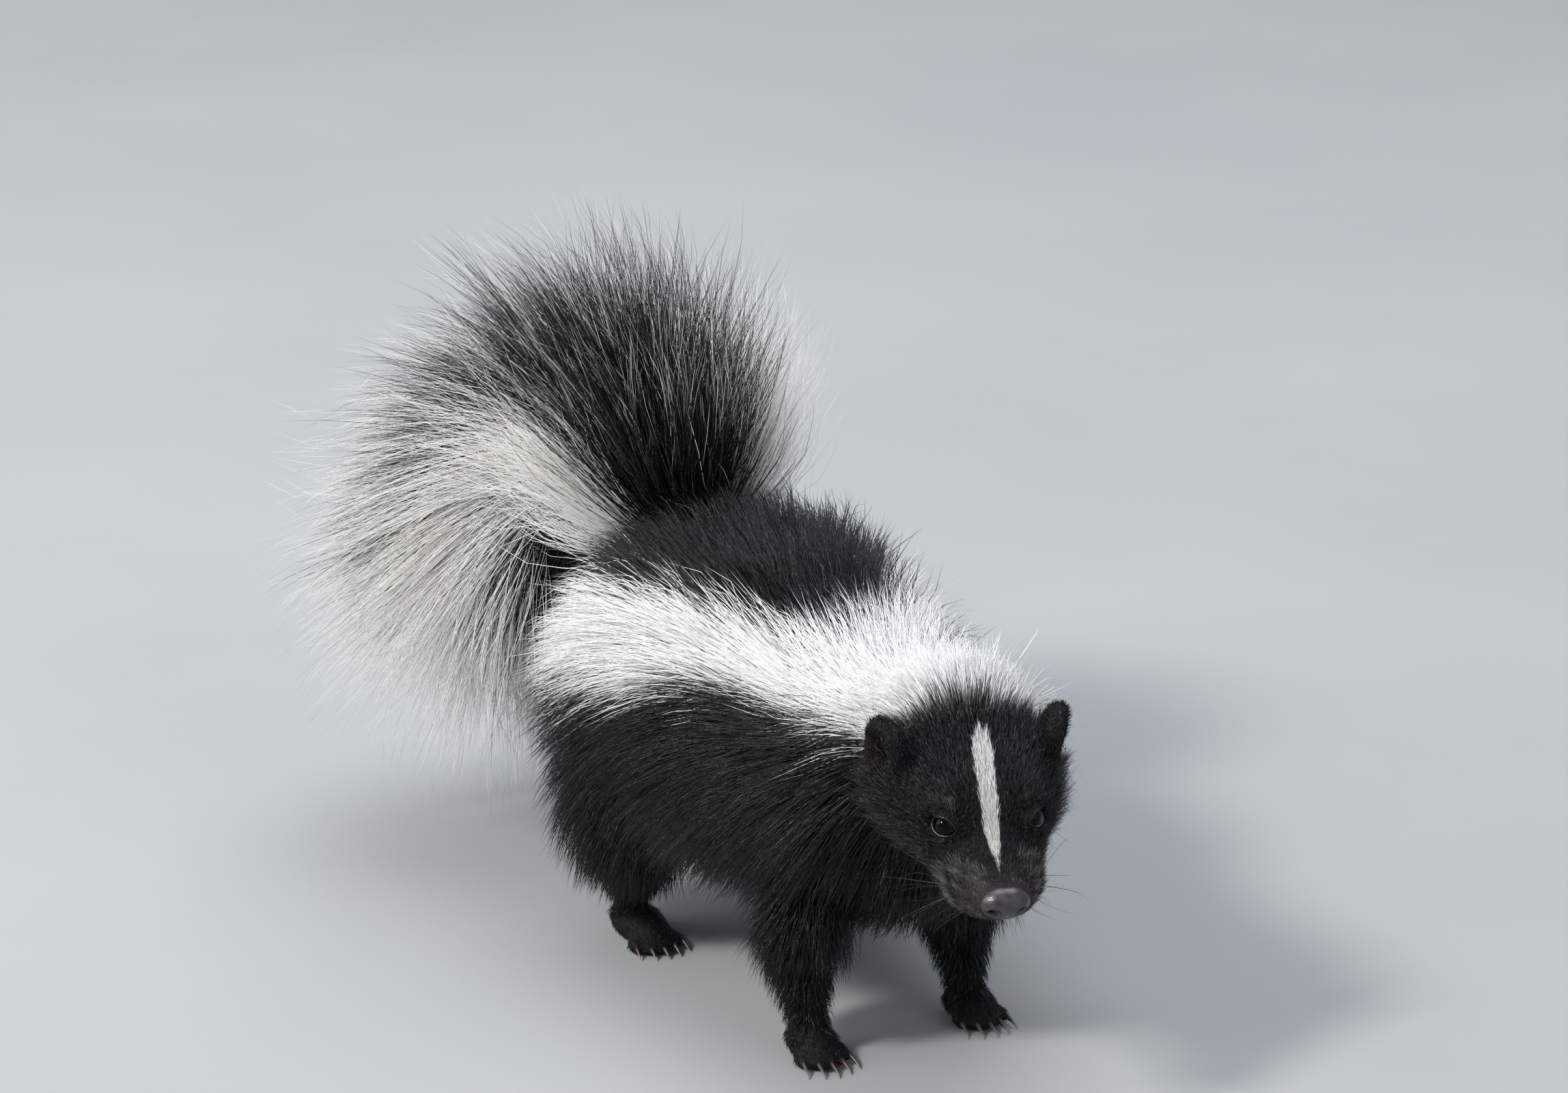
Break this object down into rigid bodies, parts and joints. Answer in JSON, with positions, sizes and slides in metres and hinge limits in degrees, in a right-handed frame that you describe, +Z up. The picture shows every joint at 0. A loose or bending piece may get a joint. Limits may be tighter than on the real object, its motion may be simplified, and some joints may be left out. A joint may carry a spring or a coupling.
{
  "type": "striped skunk",
  "caption": "Young striped skunk standing on four feet, head low and turned, bushy tail raised and curled; black coat with white nape, two back stripes and a face blaze.",
  "frame": {"origin": "On the floor, under the middle of the whole animal's box", "axes": "+Z up, -Y the way the body faces, -X the animal's right side"},
  "size_m": [0.208, 0.4254, 0.2404],
  "materials": {
    "black_fur": "matt fur",
    "white_fur": "matt fur",
    "tail_fur": "matt fur, grizzled",
    "eye": "polished",
    "nose_skin": "moist skin"
  },
  "bodies": {
    "root": {"head": "black_fur", "nose": "nose_skin", "neck": "white_fur", "torso": "black_fur", "tail_base": "tail_fur", "tail_middle": "tail_fur", "tail_tip": "tail_fur", "ear_right": "black_fur", "eye_right": "eye", "foreleg_right": "black_fur", "hindleg_right": "black_fur", "forepaw_right": "black_fur", "hindpaw_right": "black_fur", "ear_left": "black_fur", "eye_left": "eye", "foreleg_left": "black_fur", "hindleg_left": "black_fur", "forepaw_left": "black_fur", "hindpaw_left": "black_fur"}
  },
  "joints": []
}
